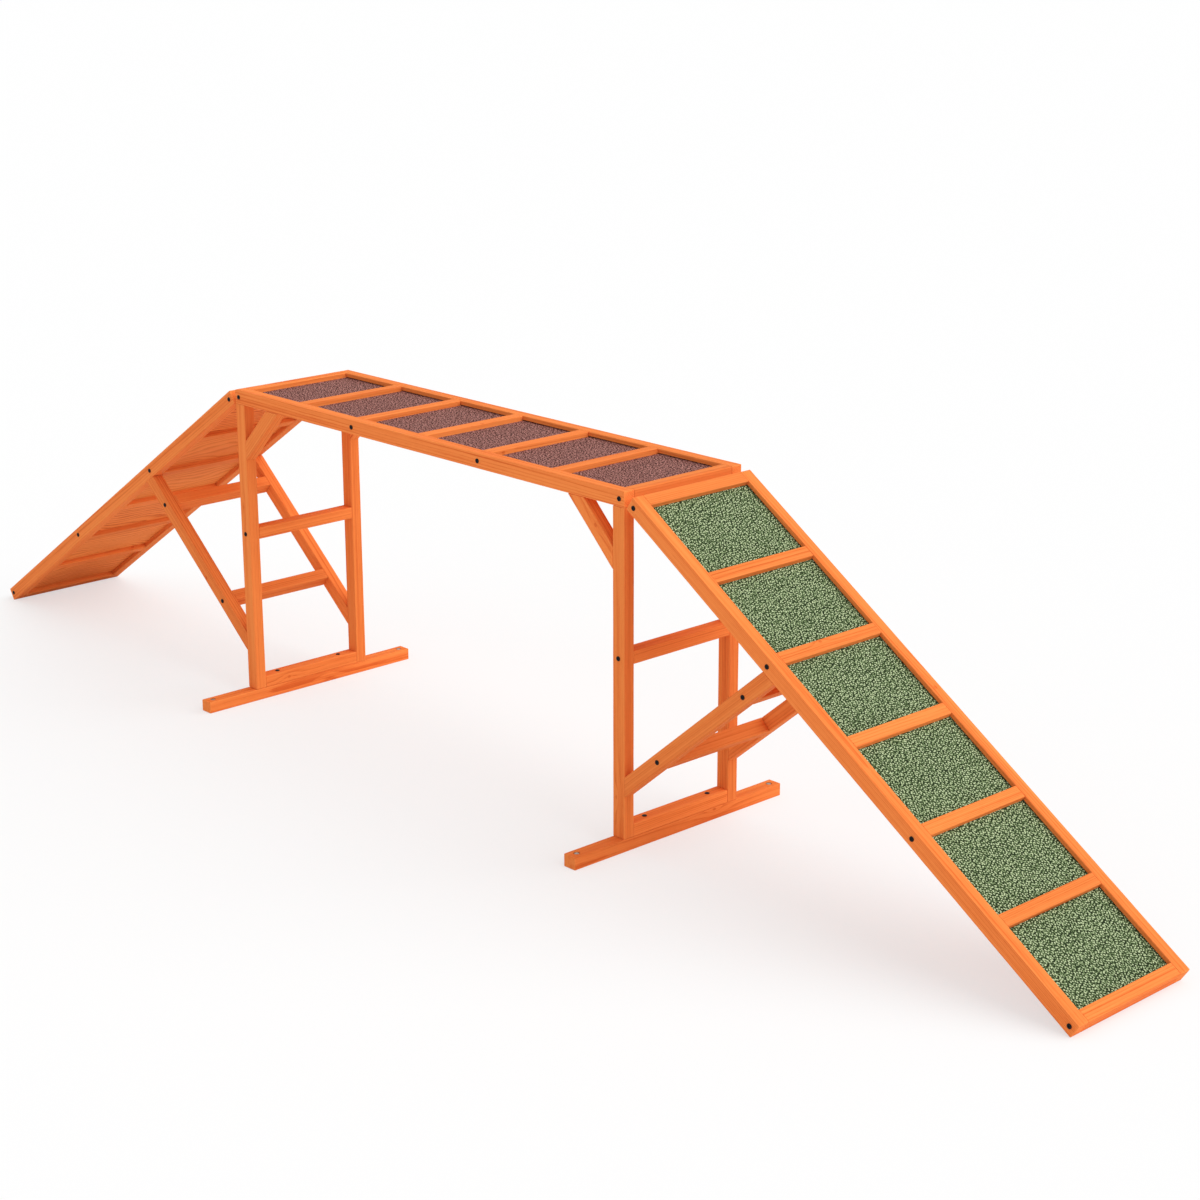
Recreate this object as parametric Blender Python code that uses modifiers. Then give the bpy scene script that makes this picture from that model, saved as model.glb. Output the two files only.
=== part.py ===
# Agility dog walk: a level bridge on two post frames, with a ramp down to the ground at each end.

import math

import bmesh
import bpy

# Timber: one planed softwood section throughout, with its edges eased.
TIMBER_WIDE = 0.045
TIMBER_THIN = 0.038
EASED_EDGE = 0.002
EDGE_STEPS = 2
JOINT_GAP = 0.0003

# Walkway, measured over its side rails.
WALK_WIDTH = 0.450
BRIDGE_LENGTH = 1.800
BRIDGE_HEIGHT = 1.037
RAMP_LENGTH = 1.810
RAMP_SLOPE = math.radians(33.2)
RAMP_END_GAP = 0.008
SLATS_IN_SECTION = 7

# Decks: plywood sheets whose long edges lie in grooves in the side rails, with a slit left above them.
DECK_THICKNESS = 0.015
DECK_BELOW_RAIL_TOP = 0.015
GROOVE_DEPTH = 0.0085
GROOVE_ABOVE_DECK = 0.0025

# Post frames.
FOOT_RAIL_OVERHANG = 0.185
RUNG_HEIGHT = 0.564
KNEE_REACH = 0.148

# Ramp supports. Heights are at the post's outer face, distances run up the strut from there.
STRUT_SLOPE = math.radians(40.2)
STRUT_FOOT_HEIGHT = 0.194
TIE_DISTANCES = {"lower": 0.171, "upper": 0.585}

# Black flat-head bolts through the posts into the rungs.
FLAT_HEAD_RADIUS = 0.007
FLAT_HEAD_HEIGHT = 0.0022
FLAT_HEAD_CROWN = 0.0007
BOLT_SHANK_RADIUS = 0.003
BOLT_LENGTH = 0.070
SOCKET_ACROSS_FLATS = 0.005
SOCKET_DEPTH = 0.0016

# Zinc hexagon-head bolts, sunk in the foot rails.
GROUND_BOLT_INSET = 0.027
COUNTERBORE_RADIUS = 0.0095
COUNTERBORE_DEPTH = 0.006
HEX_ACROSS_FLATS = 0.013
HEX_HEIGHT = 0.0053
HEX_CHAMFER = 0.0006
GROUND_SHANK_RADIUS = 0.004
GROUND_BOLT_TIP = 0.001
SHANK_LAP = 0.001

BORE_CLEARANCE = 0.0004
ROUND_STEPS = 20
ROUND_ANGLE = math.radians(40)
MERGE_DISTANCE = 0.00001
CUTTER_OVERRUN = 0.005

# Positions that follow from the sizes above.
HALF_WIDTH = WALK_WIDTH / 2
RAIL_MIDDLE_Y = HALF_WIDTH - TIMBER_THIN / 2
INNER_Y = HALF_WIDTH - TIMBER_THIN
SLAT_LENGTH = 2 * (INNER_Y - JOINT_GAP)
BRIDGE_END_X = BRIDGE_LENGTH / 2
POST_MIDDLE_X = BRIDGE_END_X - TIMBER_WIDE / 2
POST_INNER_X = BRIDGE_END_X - TIMBER_WIDE
RAIL_UNDERSIDE_Z = BRIDGE_HEIGHT - TIMBER_WIDE
SIDES = {"left": -1, "right": 1}
FLANKS = {"near": -1, "far": 1}

# Linear colours of the finishes.
ORANGE_STAIN = (0.80, 0.22, 0.055)
MAROON_GRIT = (0.27, 0.125, 0.105)
GREEN_GRIT = (0.17, 0.25, 0.11)
BLACK_OXIDE = (0.02, 0.022, 0.028)
BRIGHT_ZINC = (0.62, 0.63, 0.65)


def clear_scene():
    for obj in list(bpy.data.objects):
        bpy.data.objects.remove(obj, do_unlink=True)


def new_collection(name):
    collection = bpy.data.collections.new(name)
    bpy.context.scene.collection.children.link(collection)
    return collection


def new_finish(name, colour, roughness, metallic):
    material = bpy.data.materials.new(name)
    material.use_nodes = True
    shader = material.node_tree.nodes["Principled BSDF"]
    shader.inputs["Base Color"].default_value = (*colour, 1.0)
    shader.inputs["Roughness"].default_value = roughness
    shader.inputs["Metallic"].default_value = metallic
    return material


def stained(name):
    return new_finish(name + "_stain", ORANGE_STAIN, 0.55, 0.0)


def add_piece(name, data, location, rotation, parent, material):
    piece = bpy.data.objects.new(name, data)
    piece.location = location
    piece.rotation_euler = rotation
    piece.parent = parent
    data.materials.append(material)
    parts.objects.link(piece)
    return piece


def add_cutter(name, mesh, location, parent):
    cutter = bpy.data.objects.new(name, mesh)
    cutter.location = location
    cutter.parent = parent
    cutter.hide_render = True
    cutter.display_type = "WIRE"
    cutters.objects.link(cutter)
    return cutter


def box_mesh(name, size):
    mesh = bpy.data.meshes.new(name)
    shape = bmesh.new()
    bmesh.ops.create_cube(shape, size=1.0)
    bmesh.ops.scale(shape, vec=size, verts=shape.verts)
    shape.to_mesh(mesh)
    shape.free()
    return mesh


def cylinder_mesh(name, radius, length, sides):
    """A cylinder or a hexagon prism along Z about its own middle."""
    mesh = bpy.data.meshes.new(name)
    shape = bmesh.new()
    bmesh.ops.create_cone(
        shape, cap_ends=True, segments=sides, radius1=radius, radius2=radius, depth=length
    )
    shape.to_mesh(mesh)
    shape.free()
    mesh.shade_smooth()
    mesh.set_sharp_from_angle(angle=ROUND_ANGLE)
    return mesh


def ease_edges(piece, width=EASED_EDGE):
    bevel = piece.modifiers.new("eased_edges", "BEVEL")
    bevel.width = width
    bevel.segments = EDGE_STEPS
    bevel.limit_method = "ANGLE"


def combine(piece, other, operation):
    boolean = piece.modifiers.new(other.name, "BOOLEAN")
    boolean.operation = operation
    boolean.solver = "EXACT"
    boolean.object = other


def board(name, size, centre, parent=None, turn=0.0):
    """A straight length of timber; turn is about the Y axis."""
    piece = add_piece(name, box_mesh(name, size), centre, (0, turn, 0), parent, stained(name))
    ease_edges(piece)
    return piece


def outline_curve(name, loops, thickness):
    """A flat sheet or board with the outline of the first loop and a window for each other one."""
    curve = bpy.data.curves.new(name, "CURVE")
    curve.dimensions = "2D"
    curve.fill_mode = "BOTH"
    curve.extrude = thickness / 2
    for loop in loops:
        spline = curve.splines.new("POLY")
        spline.points.add(len(loop) - 1)
        for point, (across, up) in zip(spline.points, loop):
            point.co = (across, up, 0.0, 1.0)
        spline.use_cyclic_u = True
    return curve


def sawn_board(name, outline, flank):
    """Timber of the thin size on one flank, its ends sawn to an outline in the X-Z plane."""
    foot_x, foot_z = outline[0]
    loop = [(x - foot_x, z - foot_z) for x, z in outline]
    piece = add_piece(
        name,
        outline_curve(name, [loop], TIMBER_THIN),
        (foot_x, flank * RAIL_MIDDLE_Y, foot_z),
        (math.pi / 2, 0, 0),
        None,
        stained(name),
    )
    weld = piece.modifiers.new("joined_caps", "WELD")
    weld.merge_threshold = MERGE_DISTANCE
    ease_edges(piece)


def rectangle(x_low, x_high, y_low, y_high):
    return [(x_low, y_low), (x_high, y_low), (x_high, y_high), (x_low, y_high)]


def section_frame(name, location, turn):
    """The empty at the middle of a walkway section, which its pieces are placed from."""
    frame = bpy.data.objects.new(name, None)
    frame.location = location
    frame.rotation_euler = (0, turn, 0)
    parts.objects.link(frame)
    return frame


def slat_positions(length):
    first = -(length - TIMBER_THIN) / 2
    pitch = (length - TIMBER_THIN) / (SLATS_IN_SECTION - 1)
    return [first + pitch * number for number in range(SLATS_IN_SECTION)]


def side_rails(prefix, length, frame, deck_middle_z):
    """Both rails of a section, grooved inside for the deck; the grooves stop short of the ends."""
    groove_height = DECK_THICKNESS + GROOVE_ABOVE_DECK + JOINT_GAP
    groove_middle_z = deck_middle_z + (GROOVE_ABOVE_DECK - JOINT_GAP) / 2
    groove_size = (length - 2 * TIMBER_THIN, 2 * GROOVE_DEPTH, groove_height)
    for flank_name, flank in FLANKS.items():
        name = f"{prefix}_side_rail_{flank_name}"
        rail = board(
            name, (length, TIMBER_THIN, TIMBER_WIDE), (0, flank * RAIL_MIDDLE_Y, 0), frame
        )
        groove = add_cutter(
            name + "_groove",
            box_mesh(name + "_groove", groove_size),
            (0, flank * INNER_Y, groove_middle_z),
            frame,
        )
        combine(rail, groove, "DIFFERENCE")


def slats(prefix, length, frame, outward):
    """Cross slats on edge, numbered from the bridge outward on a ramp."""
    positions = slat_positions(length)
    if outward < 0:
        positions.reverse()
    for number, x in enumerate(positions, start=1):
        board(f"{prefix}_slat_{number}", (TIMBER_THIN, SLAT_LENGTH, TIMBER_WIDE), (x, 0, 0), frame)


def deck(prefix, length, frame, deck_middle_z, colour):
    """The section's six deck panels, joined in the rail grooves past the slat ends."""
    name = f"{prefix}_deck_panels"
    half_length = length / 2 - TIMBER_THIN - JOINT_GAP
    half_width = INNER_Y + GROOVE_DEPTH - JOINT_GAP
    half_window = TIMBER_THIN / 2 + JOINT_GAP
    loops = [rectangle(-half_length, half_length, -half_width, half_width)]
    for x in slat_positions(length)[1:-1]:
        loops.append(rectangle(x - half_window, x + half_window, -INNER_Y, INNER_Y))
    add_piece(
        name,
        outline_curve(name, loops, DECK_THICKNESS),
        (0, 0, deck_middle_z),
        (0, 0, 0),
        frame,
        new_finish(name + "_grit", colour, 0.9, 0.0),
    )


def walkway_section(prefix, length, frame, colour, outward=1):
    deck_middle_z = TIMBER_WIDE / 2 - DECK_BELOW_RAIL_TOP - DECK_THICKNESS / 2
    side_rails(prefix, length, frame, deck_middle_z)
    slats(prefix, length, frame, outward)
    deck(prefix, length, frame, deck_middle_z, colour)


def bridge():
    middle = (0, 0, BRIDGE_HEIGHT - TIMBER_WIDE / 2)
    frame = section_frame("bridge", middle, 0.0)
    walkway_section("bridge", BRIDGE_LENGTH, frame, MAROON_GRIT)


def ramp_toe_drop():
    """How far the toe's sharp corner lies below the ground, so that its eased edge just meets it."""
    corner_to_edge = 1 - math.sqrt(0.5)
    return EASED_EDGE * (math.sin(RAMP_SLOPE) + math.cos(RAMP_SLOPE)) * corner_to_edge


def ramp_underside_z(x):
    """Height of a ramp's underside at a distance x from the middle of the walk."""
    toe_x = BRIDGE_END_X + RAMP_END_GAP + RAMP_LENGTH * math.cos(RAMP_SLOPE)
    return (toe_x - x) * math.tan(RAMP_SLOPE) - ramp_toe_drop()


def ramp(side_name, side):
    half_run = RAMP_LENGTH / 2 * math.cos(RAMP_SLOPE)
    underside_x = BRIDGE_END_X + RAMP_END_GAP + half_run
    middle_x = underside_x + TIMBER_WIDE / 2 * math.sin(RAMP_SLOPE)
    middle_z = ramp_underside_z(underside_x) + TIMBER_WIDE / 2 * math.cos(RAMP_SLOPE)
    prefix = f"{side_name}_ramp"
    frame = section_frame(prefix, (side * middle_x, 0, middle_z), side * RAMP_SLOPE)
    walkway_section(prefix, RAMP_LENGTH, frame, GREEN_GRIT, side)


def turned_bolt(name, location, rotation):
    """A flat-head bolt with a hexagon socket, its head's underside at the origin, its shank along -Z."""
    crown_radius = FLAT_HEAD_RADIUS - FLAT_HEAD_CROWN
    profile = [
        (0.0, FLAT_HEAD_HEIGHT),
        (crown_radius, FLAT_HEAD_HEIGHT),
        (FLAT_HEAD_RADIUS, FLAT_HEAD_HEIGHT - FLAT_HEAD_CROWN),
        (FLAT_HEAD_RADIUS, 0.0),
        (BOLT_SHANK_RADIUS, 0.0),
        (BOLT_SHANK_RADIUS, -BOLT_LENGTH),
        (0.0, -BOLT_LENGTH),
    ]
    mesh = bpy.data.meshes.new(name)
    edges = [(point, point + 1) for point in range(len(profile) - 1)]
    mesh.from_pydata([(radius, 0.0, height) for radius, height in profile], edges, [])
    finish = new_finish(name + "_black", BLACK_OXIDE, 0.45, 0.9)
    bolt = add_piece(name, mesh, location, rotation, None, finish)
    screw = bolt.modifiers.new("turned", "SCREW")
    screw.axis = "Z"
    screw.steps = ROUND_STEPS
    screw.render_steps = ROUND_STEPS
    screw.use_smooth_shade = True
    screw.use_merge_vertices = True
    screw.merge_threshold = MERGE_DISTANCE
    socket_radius = SOCKET_ACROSS_FLATS / 2 / math.cos(math.pi / 6)
    socket = add_cutter(
        name + "_socket",
        cylinder_mesh(name + "_socket", socket_radius, 2 * SOCKET_DEPTH, 6),
        (0, 0, FLAT_HEAD_HEIGHT),
        bolt,
    )
    combine(bolt, socket, "DIFFERENCE")


def bore_across(piece, x, y, z, radius, length):
    """A round hole along Y, centred on a point in the world."""
    name = piece.name + "_bore"
    cutter = add_cutter(name, cylinder_mesh(name, radius, length, ROUND_STEPS), (x, y, z), None)
    cutter.rotation_euler = (math.pi / 2, 0, 0)
    combine(piece, cutter, "DIFFERENCE")


def posts_and_rung(side_name, side):
    """The two posts of a frame and the rung between them, bolted through the posts."""
    x = side * POST_MIDDLE_X
    foot_top = TIMBER_THIN + JOINT_GAP
    post_height = RAIL_UNDERSIDE_Z - JOINT_GAP - foot_top
    post_size = (TIMBER_WIDE, TIMBER_THIN, post_height)
    bore_radius = BOLT_SHANK_RADIUS + BORE_CLEARANCE
    bore_length = 2 * (BOLT_LENGTH + CUTTER_OVERRUN)
    rung = board(f"{side_name}_rung", (TIMBER_WIDE, SLAT_LENGTH, TIMBER_THIN), (x, 0, RUNG_HEIGHT))
    for flank_name, flank in FLANKS.items():
        middle = (x, flank * RAIL_MIDDLE_Y, foot_top + post_height / 2)
        post = board(f"{side_name}_post_{flank_name}", post_size, middle)
        for piece in (post, rung):
            bore_across(piece, x, flank * HALF_WIDTH, RUNG_HEIGHT, bore_radius, bore_length)
        turned_bolt(
            f"{side_name}_rung_bolt_{flank_name}",
            (x, flank * (HALF_WIDTH + JOINT_GAP), RUNG_HEIGHT),
            (-flank * math.pi / 2, 0, 0),
        )


def ground_bolt(name, x, y):
    """A hexagon-head bolt with its head just below the top of the foot rail."""
    head_top = TIMBER_THIN - COUNTERBORE_DEPTH + JOINT_GAP + HEX_HEIGHT
    head_radius = HEX_ACROSS_FLATS / 2 / math.cos(math.pi / 6)
    finish = new_finish(name + "_zinc", BRIGHT_ZINC, 0.35, 1.0)
    head = cylinder_mesh(name, head_radius, HEX_HEIGHT, 6)
    bolt = add_piece(name, head, (x, y, head_top - HEX_HEIGHT / 2), (0, 0, 0), None, finish)
    ease_edges(bolt, HEX_CHAMFER)
    shank_top = head_top - HEX_HEIGHT + SHANK_LAP
    shank_length = shank_top - GROUND_BOLT_TIP
    shank = add_cutter(
        name + "_shank",
        cylinder_mesh(name + "_shank", GROUND_SHANK_RADIUS, shank_length, ROUND_STEPS),
        (x, y, shank_top - shank_length / 2),
        None,
    )
    combine(bolt, shank, "UNION")


def foot_rail(side_name, side):
    """The rail on the ground under a post frame, counterbored near each end for a ground bolt."""
    x = side * POST_MIDDLE_X
    half_length = HALF_WIDTH + FOOT_RAIL_OVERHANG
    size = (TIMBER_WIDE, 2 * half_length, TIMBER_THIN)
    rail = board(f"{side_name}_foot_rail", size, (x, 0, TIMBER_THIN / 2))
    for flank_name, flank in FLANKS.items():
        y = flank * (half_length - GROUND_BOLT_INSET)
        name = f"{side_name}_ground_bolt_{flank_name}"
        counterbore = add_cutter(
            name + "_counterbore",
            cylinder_mesh(name, COUNTERBORE_RADIUS, 2 * COUNTERBORE_DEPTH, ROUND_STEPS),
            (x, y, TIMBER_THIN),
            None,
        )
        combine(rail, counterbore, "DIFFERENCE")
        bore_radius = GROUND_SHANK_RADIUS + BORE_CLEARANCE
        bore_length = TIMBER_THIN + 2 * CUTTER_OVERRUN
        bore = add_cutter(
            name + "_bore",
            cylinder_mesh(name, bore_radius, bore_length, ROUND_STEPS),
            (x, y, TIMBER_THIN / 2),
            None,
        )
        combine(rail, bore, "DIFFERENCE")
        ground_bolt(name, x, y)


def bottom_rail(side_name, side):
    middle = (side * POST_MIDDLE_X, 0, 1.5 * TIMBER_THIN + JOINT_GAP)
    board(f"{side_name}_bottom_rail", (TIMBER_WIDE, SLAT_LENGTH, TIMBER_THIN), middle)


def knee_braces(side_name, side):
    """Short braces at 45 degrees from the posts up to the bridge's side rails."""
    half_cut = TIMBER_WIDE / 2 * math.sqrt(2)
    inner = KNEE_REACH - half_cut
    outer = KNEE_REACH + half_cut
    post_x = POST_INNER_X - JOINT_GAP
    rail_z = RAIL_UNDERSIDE_Z - JOINT_GAP
    outline = [
        (side * post_x, rail_z - outer),
        (side * post_x, rail_z - inner),
        (side * (post_x - inner), rail_z),
        (side * (post_x - outer), rail_z),
    ]
    for flank_name, flank in FLANKS.items():
        sawn_board(f"{side_name}_knee_brace_{flank_name}", outline, flank)


def strut_edge_top_x(height_at_post):
    """Where an edge of a strut, starting at this height on the post, meets the ramp's underside."""
    slopes = math.tan(STRUT_SLOPE) + math.tan(RAMP_SLOPE)
    gap_height = JOINT_GAP / math.cos(RAMP_SLOPE)
    return BRIDGE_END_X + (ramp_underside_z(BRIDGE_END_X) - gap_height - height_at_post) / slopes


def ramp_struts(side_name, side):
    """Struts from the posts to the ramp's side rails, sawn upright below and along the ramp above."""
    half_rise = TIMBER_WIDE / 2 / math.cos(STRUT_SLOPE)
    foot_x = BRIDGE_END_X + JOINT_GAP
    outline = []
    for edge in (-1, 1):
        height = STRUT_FOOT_HEIGHT + edge * half_rise
        top_x = strut_edge_top_x(height)
        ends = [
            (side * foot_x, height + (foot_x - BRIDGE_END_X) * math.tan(STRUT_SLOPE)),
            (side * top_x, height + (top_x - BRIDGE_END_X) * math.tan(STRUT_SLOPE)),
        ]
        outline += ends if edge < 0 else reversed(ends)
    for flank_name, flank in FLANKS.items():
        sawn_board(f"{side_name}_ramp_strut_{flank_name}", outline, flank)


def strut_ties(side_name, side):
    """Boards between the two struts, flush with their upper and lower edges."""
    size = (TIMBER_THIN, SLAT_LENGTH, TIMBER_WIDE)
    for tie_name, distance in TIE_DISTANCES.items():
        x = BRIDGE_END_X + distance * math.cos(STRUT_SLOPE)
        z = STRUT_FOOT_HEIGHT + distance * math.sin(STRUT_SLOPE)
        name = f"{side_name}_strut_tie_{tie_name}"
        board(name, size, (side * x, 0, z), turn=-side * STRUT_SLOPE)


clear_scene()
parts = new_collection("agility_dog_walk")
cutters = new_collection("cutters")
bridge()
for side_name, side in SIDES.items():
    ramp(side_name, side)
    foot_rail(side_name, side)
    bottom_rail(side_name, side)
    posts_and_rung(side_name, side)
    knee_braces(side_name, side)
    ramp_struts(side_name, side)
    strut_ties(side_name, side)
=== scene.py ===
# Agility dog walk: a level bridge on two post frames, with a ramp down to the ground at each end.
# The sections of this file follow the walk as it is put together, from the rails to the bolts.

import math
import random

import bmesh
import bpy
import numpy as np
from mathutils import Matrix, Vector


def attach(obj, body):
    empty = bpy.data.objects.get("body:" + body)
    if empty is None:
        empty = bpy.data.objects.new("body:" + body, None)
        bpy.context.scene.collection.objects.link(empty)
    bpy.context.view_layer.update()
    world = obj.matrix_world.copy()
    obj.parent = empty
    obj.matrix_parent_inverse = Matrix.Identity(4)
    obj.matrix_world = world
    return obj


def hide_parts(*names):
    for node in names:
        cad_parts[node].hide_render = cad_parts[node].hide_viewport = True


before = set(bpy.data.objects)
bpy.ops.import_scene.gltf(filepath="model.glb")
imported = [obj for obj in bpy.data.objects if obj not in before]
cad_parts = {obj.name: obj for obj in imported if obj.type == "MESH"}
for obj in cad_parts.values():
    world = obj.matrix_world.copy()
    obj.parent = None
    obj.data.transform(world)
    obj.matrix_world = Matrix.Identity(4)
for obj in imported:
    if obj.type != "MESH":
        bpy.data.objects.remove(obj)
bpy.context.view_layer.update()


# Walkway sections
# A level bridge and two ramps of the same make. Each rail, slat and deck panel is laid out from
# the middle of its own section, and a ramp's lower corner rests on the ground.
BRIDGE_LENGTH = 1.800
BRIDGE_HEIGHT = 1.037
RAMP_LENGTH = 1.810
RAMP_SLOPE = math.radians(33.2)
RAMP_END_GAP = 0.008
TIMBER_WIDE = 0.045
TIMBER_THIN = 0.038
EASED_EDGE = 0.002
SIDES = {"left": -1, "right": 1}
FLANKS = {"near": -1, "far": 1}


def ramp_underside_z(x):
    """Height of a ramp's underside at a distance x from the middle of the walk."""
    toe_x = BRIDGE_LENGTH / 2 + RAMP_END_GAP + RAMP_LENGTH * math.cos(RAMP_SLOPE)
    toe_drop = EASED_EDGE * (math.sin(RAMP_SLOPE) + math.cos(RAMP_SLOPE)) * (1 - math.sqrt(0.5))
    return (toe_x - x) * math.tan(RAMP_SLOPE) - toe_drop


def ramp_place(side):
    underside_x = BRIDGE_LENGTH / 2 + RAMP_END_GAP + RAMP_LENGTH / 2 * math.cos(RAMP_SLOPE)
    middle_x = underside_x + TIMBER_WIDE / 2 * math.sin(RAMP_SLOPE)
    middle_z = ramp_underside_z(underside_x) + TIMBER_WIDE / 2 * math.cos(RAMP_SLOPE)
    turn = Matrix.Rotation(side * RAMP_SLOPE, 4, "Y")
    return Matrix.Translation((side * middle_x, 0, middle_z)) @ turn


walkway = {
    "bridge": (BRIDGE_LENGTH, Matrix.Translation((0, 0, BRIDGE_HEIGHT - TIMBER_WIDE / 2)), 1),
    "left_ramp": (RAMP_LENGTH, ramp_place(-1), -1),
    "right_ramp": (RAMP_LENGTH, ramp_place(1), 1),
}


# Side rails
# Planed softwood on edge, one down each side of a section, grooved inside to take the decks.
# The edges are eased by hand, and every rail is stained orange before it is fixed.
WALK_WIDTH = 0.450
RAIL_Y = (WALK_WIDTH - TIMBER_THIN) / 2
INNER_Y = WALK_WIDTH / 2 - TIMBER_THIN
JOINT_GAP = 0.0003
GROOVE_DEPTH = 0.0085
GROOVE_HEIGHT = 0.0178
GROOVE_MIDDLE_Z = 0.0011
BOLT_HOLE = 0.0034
BOLT_LENGTH = 0.070
HOLE_REACH = 0.030
HOLE_SIDES = 24
ARRIS = 0.0022
ARRIS_STEPS = 3
HAND_EASING = (1.06, 1.40)
# How far an arris's wear and its painted highlight reach onto the flats.
WORN_AND_HIGHLIT_BAND = 0.004
STATION_PITCH = 0.060
MERGE_DISTANCE = 0.000001
# How a timber was cut from its tree: how far off the pith lies, how the grain leans, how wide the
# rings are, and whether, where along it and how far off its middle a knot comes.
PITH_AWAY = (0.030, 0.085)
GRAIN_LEAN = (-0.006, 0.006)
RING_WIDTHS = (0.0040, 0.0062)
KNOT_CHANCE = 0.36
KNOT_PLACES = (-0.42, 0.42)
KNOT_SWAY = (-0.012, 0.012)
NO_KNOT_HERE = 9.0


def section_loop(half_across, half_upright, inset, arris):
    """Points round a timber's section, set in by inset, with the arrises rounded."""
    rounding = max(arris - inset, 0.0)
    across, upright = half_across - inset, half_upright - inset
    reach_across = half_across - ARRIS - WORN_AND_HIGHLIT_BAND
    reach_upright = half_upright - ARRIS - WORN_AND_HIGHLIT_BAND
    points = []
    for quarter, (y_way, z_way) in enumerate(((1, 1), (-1, 1), (-1, -1), (1, -1))):
        on_side = (y_way * across, z_way * reach_upright)
        on_top = (y_way * reach_across, z_way * upright)
        points.append(on_top if quarter % 2 else on_side)
        for step in range(ARRIS_STEPS + 1):
            angle = (quarter + step / ARRIS_STEPS) * math.pi / 2
            points.append(
                (
                    y_way * (across - rounding) + rounding * math.cos(angle),
                    z_way * (upright - rounding) + rounding * math.sin(angle),
                )
            )
        points.append(on_side if quarter % 2 else on_top)
    return points


def end_loops():
    """(distance from the end, inset) of the loops round a timber's end, from its middle outward."""
    loops = [(0.0, ARRIS + WORN_AND_HIGHLIT_BAND)]
    for step in range(ARRIS_STEPS, -1, -1):
        angle = step / ARRIS_STEPS * math.pi / 2
        loops.append((ARRIS * (1 - math.sin(angle)), ARRIS * (1 - math.cos(angle))))
    loops.append((ARRIS + WORN_AND_HIGHLIT_BAND, 0.0))
    return loops


def skin(shape, rings):
    """Faces between each ring of points and the next."""
    for ring, following in zip(rings, rings[1:]):
        for at in range(len(ring)):
            after = (at + 1) % len(ring)
            shape.faces.new((ring[at], ring[after], following[after], following[at]))


def planed_blank(length, across, upright, cuts, chance):
    """Timber along X about its middle; cuts are how far each end leans along X per metre of Z."""
    inner = length / 2 - ARRIS - WORN_AND_HIGHLIT_BAND
    stations = [(distance - length / 2, inset, 1.0) for distance, inset in end_loops()]
    count = max(2, round(2 * inner / STATION_PITCH))
    for step in range(1, count):
        stations.append((inner * (2 * step / count - 1), 0.0, chance.uniform(*HAND_EASING)))
    stations += [(length / 2 - distance, inset, 1.0) for distance, inset in reversed(end_loops())]
    shape = bmesh.new()
    rings = []
    for x, inset, ease in stations:
        share = x / length + 0.5
        lean = cuts[0] * (1 - share) + cuts[1] * share
        loop = section_loop(across / 2, upright / 2, inset, ARRIS * ease)
        rings.append([shape.verts.new((x + lean * z, y, z)) for y, z in loop])
    skin(shape, rings)
    shape.faces.new(rings[0])
    shape.faces.new(rings[-1])
    bmesh.ops.remove_doubles(shape, verts=shape.verts, dist=MERGE_DISTANCE)
    bmesh.ops.recalc_face_normals(shape, faces=shape.faces)
    return shape


def hole(tools, centre, axis, radius, reach):
    """A round cutter through centre, reaching as far each way along the axis."""
    turn = {
        "X": Matrix.Rotation(math.pi / 2, 4, "Y"),
        "Y": Matrix.Rotation(math.pi / 2, 4, "X"),
        "Z": Matrix.Identity(4),
    }[axis]
    bmesh.ops.create_cone(
        tools,
        cap_ends=True,
        segments=HOLE_SIDES,
        radius1=radius,
        radius2=radius,
        depth=2 * reach,
        matrix=Matrix.Translation(centre) @ turn,
    )


def mesh_of(shape, name):
    mesh = bpy.data.meshes.new(name)
    shape.to_mesh(mesh)
    shape.free()
    return mesh


def cut_away(mesh, tools):
    """The mesh with the tools' solids cut out of it."""
    blank = bpy.data.objects.new("blank", mesh)
    tool = bpy.data.objects.new("tool", mesh_of(tools, "tool"))
    for thing in (blank, tool):
        bpy.context.collection.objects.link(thing)
    cut = blank.modifiers.new("cut", "BOOLEAN")
    cut.operation = "DIFFERENCE"
    cut.solver = "EXACT"
    cut.use_self = True
    cut.object = tool
    graph = bpy.context.evaluated_depsgraph_get()
    made = bpy.data.meshes.new_from_object(blank.evaluated_get(graph))
    bpy.data.objects.remove(blank)
    bpy.data.objects.remove(tool)
    return made


def write_attribute(mesh, name, kind, domain, values):
    made = mesh.attributes.new(name, kind, domain)
    field = "vector" if kind == "FLOAT_VECTOR" else "value"
    made.data.foreach_set(field, np.asarray(values, np.float32).ravel())


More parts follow.
